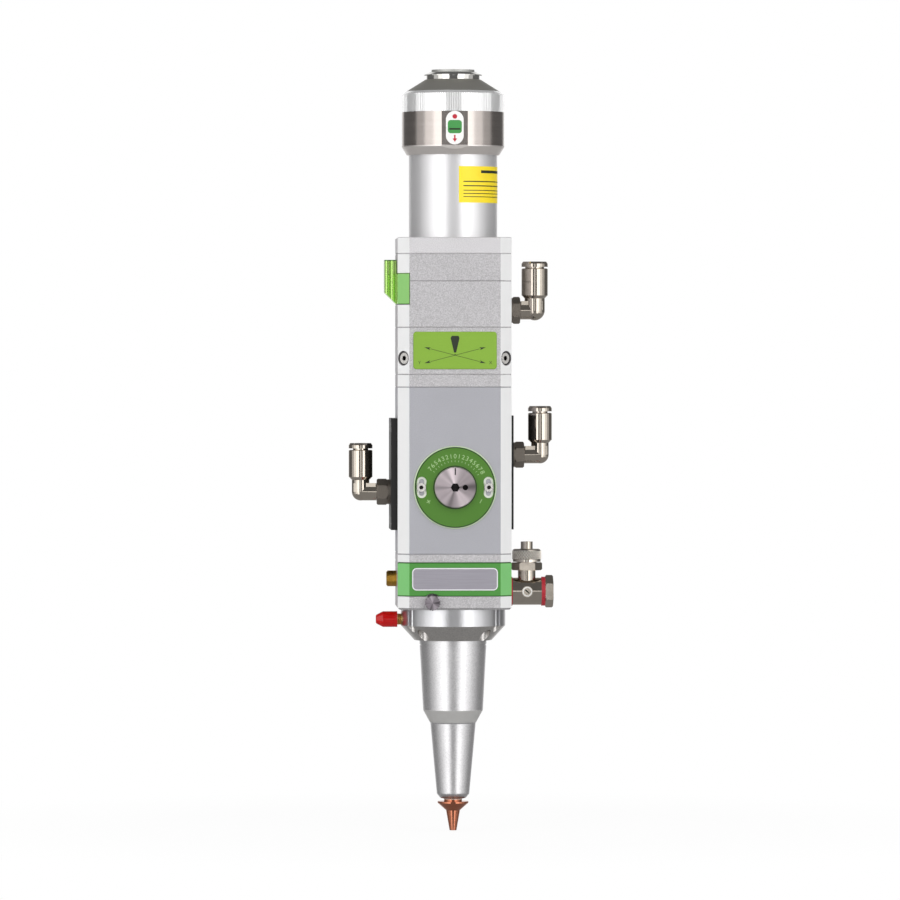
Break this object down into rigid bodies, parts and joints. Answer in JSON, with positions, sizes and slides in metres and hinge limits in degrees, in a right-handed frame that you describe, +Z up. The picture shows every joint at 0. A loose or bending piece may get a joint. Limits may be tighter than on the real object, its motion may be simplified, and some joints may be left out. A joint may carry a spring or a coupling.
{
  "type": "laser cutting head",
  "caption": "Slim laser cutting head with a fibre socket, locking ring, centring module, focus dial, window drawers, tube fittings, nose cone and copper nozzle.",
  "frame": {"origin": "centre of the four tapped holes in the back face, on that face", "axes": "+Z up along the beam towards the fibre socket, +Y out of the back face, +X to the right seen from the front"},
  "size_m": [0.1083, 0.065, 0.4029],
  "materials": {
    "blasted_aluminium": "bead-blasted, clear anodised",
    "satin_aluminium": "satin, clear anodised",
    "turned_aluminium": "fine turned, bright",
    "turned_steel": "turned",
    "brushed_steel": "brushed round",
    "steel_screws": "rolled and ground",
    "chrome": "polished",
    "nickel_plate": "polished nickel plate",
    "green_anodised": "green anodised, satin",
    "green_plate": "light green print on metal",
    "black_anodised": "black anodised, matt",
    "silver_plate": "silver, fine grained",
    "copper": "turned copper",
    "brass": "turned brass",
    "gold_plate": "gold plated",
    "ceramic": "glazed ceramic",
    "red_plastic": "glossy moulded",
    "red_seal": "matt fibre seal",
    "optic_glass": "coated optical glass"
  },
  "bodies": {
    "head": {"nozzle": "copper", "insulator": "ceramic", "nose_cone": "satin_aluminium", "nose_flange": "satin_aluminium", "flange_screws": "steel_screws", "sensor_connector": "gold_plate", "drawer_frame": "blasted_aluminium", "vent_plug": "brass", "banjo_bolt": "nickel_plate", "banjo_washers": "red_seal", "banjo_body": "nickel_plate", "lower_adapter": "blasted_aluminium", "spacer_plate": "blasted_aluminium", "focus_housing": "blasted_aluminium", "left_cover": "black_anodised", "right_cover": "black_anodised", "cover_screws": "steel_screws", "focus_bush": "brass", "scale_screws": "steel_screws", "centring_housing": "blasted_aluminium", "centring_plungers": "steel_screws", "centring_badge": "green_plate", "collimator_housing": "blasted_aluminium", "window_housing": "blasted_aluminium", "port_studs": "nickel_plate", "collimator_tube": "satin_aluminium", "receiver_ring": "brushed_steel", "ring_plaque": "silver_plate", "fibre_socket": "brushed_steel", "socket_collar": "chrome"},
    "lock_ring": {"lock_ring": "turned_aluminium"},
    "upper_drawer": {"upper_drawer": "green_anodised", "upper_window": "optic_glass", "upper_window_ring": "steel_screws"},
    "lower_drawer": {"lower_drawer": "green_anodised", "lower_window": "optic_glass", "lower_window_ring": "steel_screws", "nameplate": "silver_plate"},
    "thumb_screw": {"thumb_screw": "turned_steel"},
    "focus_knob": {"focus_knob": "turned_aluminium", "focus_pinion": "brass"},
    "focus_barrel": {"focus_barrel": "black_anodised", "focus_rack": "brass", "focus_lens": "optic_glass", "focus_lens_ring": "steel_screws"},
    "scale_ring": {"scale_ring": "green_anodised"},
    "centring_slide": {"centring_slide": "turned_steel"},
    "centring_cell": {"centring_cell": "black_anodised", "collimating_lens": "optic_glass", "collimating_lens_ring": "steel_screws"},
    "centring_screw_left": {"centring_screw_left": "steel_screws"},
    "centring_screw_right": {"centring_screw_right": "steel_screws"},
    "elbow_upper": {"elbow_upper": "nickel_plate"},
    "elbow_middle": {"elbow_middle": "nickel_plate"},
    "elbow_left": {"elbow_left": "nickel_plate"},
    "collet_upper": {"collet_upper": "nickel_plate"},
    "collet_middle": {"collet_middle": "nickel_plate"},
    "collet_left": {"collet_left": "nickel_plate"},
    "gas_nut": {"gas_nut": "nickel_plate"},
    "connector_cap": {"connector_cap": "red_plastic"}
  },
  "joints": [
    {"name": "lock_ring_turn", "type": "hinge", "parent": "head", "child": "lock_ring", "pos_m": [0, -0.03, 0.1894], "axis": [0, 0, 1], "range_deg": [0, 45]},
    {"name": "upper_drawer_slide", "type": "slide", "parent": "head", "child": "upper_drawer", "axis": [-1, 0, 0], "range_m": [0, 0.05]},
    {"name": "lower_drawer_slide", "type": "slide", "parent": "head", "child": "lower_drawer", "axis": [0, -1, 0], "range_m": [0, 0.05]},
    {"name": "thumb_screw_turn", "type": "hinge", "parent": "head", "child": "thumb_screw", "pos_m": [-0.0119, -0.06, -0.0694], "axis": [0, -1, 0], "continuous": true},
    {"name": "focus_slide", "type": "slide", "parent": "head", "child": "focus_barrel", "axis": [0, 0, 1], "range_m": [-0.008, 0.008]},
    {"name": "focus_knob_turn", "type": "hinge", "parent": "head", "child": "focus_knob", "pos_m": [0, -0.06, -0.0087], "axis": [0, -1, 0], "range_deg": [-61.2, 61.2]},
    {"name": "scale_ring_trim", "type": "hinge", "parent": "head", "child": "scale_ring", "pos_m": [0, -0.06, -0.0087], "axis": [0, -1, 0], "range_deg": [-8, 8]},
    {"name": "centring_slide_shift", "type": "slide", "parent": "head", "child": "centring_slide", "axis": [0.7071, 0.7071, 0], "range_m": [-0.001, 0.001]},
    {"name": "centring_cell_shift", "type": "slide", "parent": "centring_slide", "child": "centring_cell", "axis": [-0.7071, 0.7071, 0], "range_m": [-0.001, 0.001]},
    {"name": "centring_screw_left_turn", "type": "hinge", "parent": "head", "child": "centring_screw_left", "pos_m": [-0.02, -0.05, 0.0592], "axis": [-0.7071, -0.7071, 0], "range_deg": [-721, 721]},
    {"name": "centring_screw_right_turn", "type": "hinge", "parent": "head", "child": "centring_screw_right", "pos_m": [0.02, -0.05, 0.0592], "axis": [0.7071, -0.7071, 0], "range_deg": [-721, 721]},
    {"name": "elbow_upper_swivel", "type": "hinge", "parent": "head", "child": "elbow_upper", "pos_m": [0.03, -0.03, 0.0846], "axis": [1, 0, 0], "continuous": true},
    {"name": "elbow_middle_swivel", "type": "hinge", "parent": "head", "child": "elbow_middle", "pos_m": [0.0312, -0.03, 0.0081], "axis": [1, 0, 0], "continuous": true},
    {"name": "elbow_left_swivel", "type": "hinge", "parent": "head", "child": "elbow_left", "pos_m": [-0.0334, -0.03, -0.0115], "axis": [-1, 0, 0], "continuous": true},
    {"name": "collet_upper_press", "type": "slide", "parent": "elbow_upper", "child": "collet_upper", "axis": [0, 0, -1], "range_m": [0, 0.0008], "stiffness_N_per_m": 2000, "springref_m": -0.0005},
    {"name": "collet_middle_press", "type": "slide", "parent": "elbow_middle", "child": "collet_middle", "axis": [0, 0, -1], "range_m": [0, 0.0008], "stiffness_N_per_m": 2000, "springref_m": -0.0005},
    {"name": "collet_left_press", "type": "slide", "parent": "elbow_left", "child": "collet_left", "axis": [0, 0, -1], "range_m": [0, 0.0008], "stiffness_N_per_m": 2000, "springref_m": -0.0005},
    {"name": "gas_nut_turn", "type": "hinge", "parent": "head", "child": "gas_nut", "pos_m": [0.0391, -0.03, -0.0486], "axis": [0, 0, 1], "continuous": true},
    {"name": "connector_cap_pull", "type": "slide", "parent": "head", "child": "connector_cap", "axis": [-1, 0, 0], "range_m": [0, 0.009]}
  ],
  "couplings": [
    {"joint": "focus_knob_turn", "follows": "focus_slide", "rad_per_m": 133.33},
    {"joint": "centring_screw_left_turn", "follows": "centring_slide_shift", "rad_per_m": 12566},
    {"joint": "centring_screw_right_turn", "follows": "centring_cell_shift", "rad_per_m": 12566}
  ]
}
